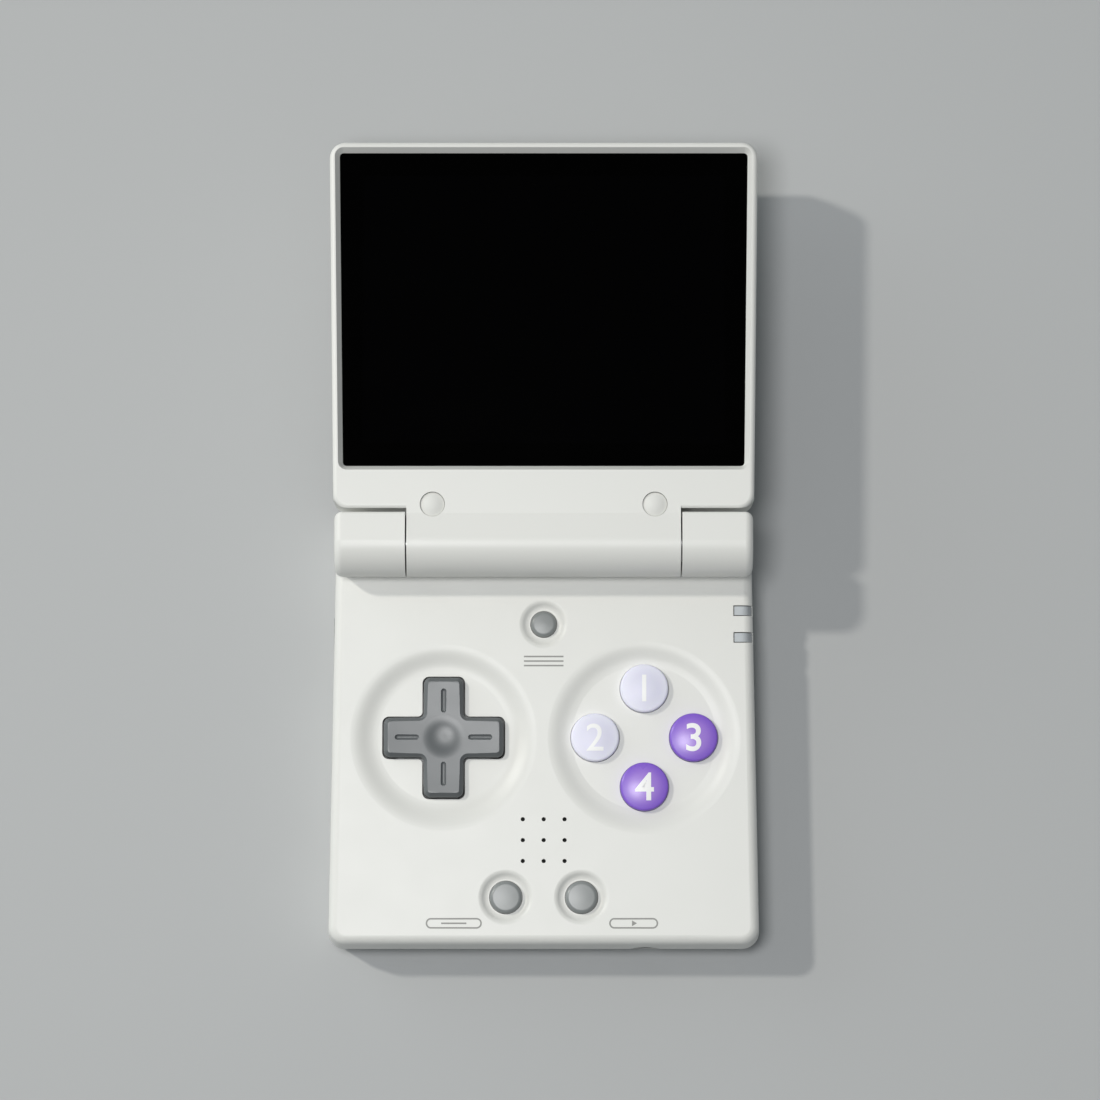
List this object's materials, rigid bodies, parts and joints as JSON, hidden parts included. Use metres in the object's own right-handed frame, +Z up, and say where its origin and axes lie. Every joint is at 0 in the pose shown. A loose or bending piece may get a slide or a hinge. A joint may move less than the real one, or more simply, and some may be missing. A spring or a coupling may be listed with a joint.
{
  "type": "clamshell handheld game console",
  "caption": "Clamshell handheld game console with a hinged screen lid, a direction key, round face keys and rear shoulder keys, lying open flat.",
  "frame": {"origin": "middle of the base's flat underside", "axes": "+Z up out of the base's face, +Y from the player towards the lid, +X to the player's right"},
  "size_m": [0.085, 0.1583, 0.0271],
  "materials": {
    "casing": "fine satin moulded surface, warm light grey",
    "grey_key": "satin mid grey",
    "small_key": "satin mid grey",
    "pale_key": "semi-gloss pale lavender",
    "violet_key": "semi-gloss violet",
    "side_key": "satin grey",
    "window": "frosted grey light window",
    "screen_glass": "black printed glossy glass",
    "rubber_cover": "light grey rubber",
    "silicone": "translucent grey silicone",
    "board": "green solder mask",
    "chip": "black epoxy",
    "steel": "plain steel",
    "battery": "foil pouch in dark film",
    "display": "dark display glass",
    "lamp": "small lamp body",
    "cable": "amber polyimide film",
    "mesh": "black woven mesh",
    "card": "black card"
  },
  "bodies": {
    "base": {"base_top_shell": "casing", "base_bottom_shell": "casing", "base_screws": "steel", "light_pipe_rear": "window", "light_pipe_front": "window", "status_lamps": "lamp", "loudspeaker": "chip", "speaker_mesh": "mesh", "shoulder_switches": "chip", "side_switches": "chip", "main_board": "board", "processor": "chip", "memory_chip": "chip", "power_chip": "chip", "wireless_module": "steel", "battery_pack": "battery", "vibration_motor": "steel", "headphone_jack": "chip", "usb_port": "steel", "hdmi_port": "steel", "card_socket_rear": "steel", "card_socket_front": "steel", "lid_sensor": "chip", "hinge_friction_unit": "chip", "screen_cable_riser": "cable", "dpad_membrane": "silicone", "face_button_membrane": "silicone", "menu_membrane": "silicone", "select_start_membrane": "silicone"},
    "lid": {"lid_inner_shell": "casing", "lid_outer_shell": "casing", "lid_screws": "steel", "screw_cover_left": "rubber_cover", "screw_cover_right": "rubber_cover", "cover_glass": "screen_glass", "glass_gasket": "silicone", "display_panel": "display", "backlight_unit": "display", "display_tray": "steel", "lid_magnet": "steel", "hinge_pin": "steel", "hinge_sleeve": "steel", "screen_cable_roll": "cable"},
    "dpad_rocker": {"dpad_rocker": "steel"},
    "dpad": {"dpad": "grey_key"},
    "face_button_top": {"face_button_top": "pale_key"},
    "face_button_left": {"face_button_left": "pale_key"},
    "face_button_right": {"face_button_right": "violet_key"},
    "face_button_bottom": {"face_button_bottom": "violet_key"},
    "menu_button": {"menu_button": "small_key"},
    "select_button": {"select_button": "small_key"},
    "start_button": {"start_button": "small_key"},
    "shoulder_key_left_outer": {"shoulder_key_left_outer": "side_key"},
    "shoulder_key_left_inner": {"shoulder_key_left_inner": "side_key"},
    "shoulder_key_right_inner": {"shoulder_key_right_inner": "side_key"},
    "shoulder_key_right_outer": {"shoulder_key_right_outer": "side_key"},
    "volume_rocker": {"volume_rocker": "side_key"},
    "power_button": {"power_button": "side_key"},
    "reset_button": {"reset_button": "side_key"},
    "memory_card": {"memory_card": "card"}
  },
  "joints": [
    {"name": "lid_hinge", "type": "hinge", "parent": "base", "child": "lid", "pos_m": [0, 0.0357, 0.0206], "axis": [1, 0, 0], "range_deg": [0, 180]},
    {"name": "dpad_tip_up_down", "type": "hinge", "parent": "base", "child": "dpad_rocker", "pos_m": [-0.0197, -0.0019, 0.0094], "axis": [1, 0, 0], "range_deg": [-2.4, 2.4], "stiffness_Nm_per_rad": 0.15},
    {"name": "dpad_tip_left_right", "type": "hinge", "parent": "dpad_rocker", "child": "dpad", "pos_m": [-0.0197, -0.0019, 0.0094], "axis": [0, 1, 0], "range_deg": [-2.4, 2.4], "stiffness_Nm_per_rad": 0.15},
    {"name": "face_button_top_press", "type": "slide", "parent": "base", "child": "face_button_top", "axis": [0, 0, -1], "range_m": [0, 0.0009], "stiffness_N_per_m": 400},
    {"name": "face_button_left_press", "type": "slide", "parent": "base", "child": "face_button_left", "axis": [0, 0, -1], "range_m": [0, 0.0009], "stiffness_N_per_m": 400},
    {"name": "face_button_right_press", "type": "slide", "parent": "base", "child": "face_button_right", "axis": [0, 0, -1], "range_m": [0, 0.0009], "stiffness_N_per_m": 400},
    {"name": "face_button_bottom_press", "type": "slide", "parent": "base", "child": "face_button_bottom", "axis": [0, 0, -1], "range_m": [0, 0.0009], "stiffness_N_per_m": 400},
    {"name": "menu_button_press", "type": "slide", "parent": "base", "child": "menu_button", "axis": [0, 0, -1], "range_m": [0, 0.0007], "stiffness_N_per_m": 400},
    {"name": "select_button_press", "type": "slide", "parent": "base", "child": "select_button", "axis": [0, 0, -1], "range_m": [0, 0.0007], "stiffness_N_per_m": 400},
    {"name": "start_button_press", "type": "slide", "parent": "base", "child": "start_button", "axis": [0, 0, -1], "range_m": [0, 0.0007], "stiffness_N_per_m": 400},
    {"name": "shoulder_key_left_outer_press", "type": "slide", "parent": "base", "child": "shoulder_key_left_outer", "axis": [0, -1, 0], "range_m": [0, 0.0008], "stiffness_N_per_m": 500},
    {"name": "shoulder_key_left_inner_press", "type": "slide", "parent": "base", "child": "shoulder_key_left_inner", "axis": [0, -1, 0], "range_m": [0, 0.0008], "stiffness_N_per_m": 500},
    {"name": "shoulder_key_right_inner_press", "type": "slide", "parent": "base", "child": "shoulder_key_right_inner", "axis": [0, -1, 0], "range_m": [0, 0.0008], "stiffness_N_per_m": 500},
    {"name": "shoulder_key_right_outer_press", "type": "slide", "parent": "base", "child": "shoulder_key_right_outer", "axis": [0, -1, 0], "range_m": [0, 0.0008], "stiffness_N_per_m": 500},
    {"name": "volume_rocker_tip", "type": "hinge", "parent": "base", "child": "volume_rocker", "pos_m": [-0.0392, 0.0157, 0.0082], "axis": [0, 0, 1], "range_deg": [-3.5, 3.5], "stiffness_Nm_per_rad": 0.05},
    {"name": "power_button_press", "type": "slide", "parent": "base", "child": "power_button", "axis": [-1, 0, 0], "range_m": [0, 0.0005], "stiffness_N_per_m": 400},
    {"name": "reset_button_press", "type": "slide", "parent": "base", "child": "reset_button", "axis": [-1, 0, 0], "range_m": [0, 0.0004], "stiffness_N_per_m": 400},
    {"name": "memory_card_slide", "type": "slide", "parent": "base", "child": "memory_card", "axis": [1, 0, 0], "range_m": [0, 0.0035]}
  ]
}
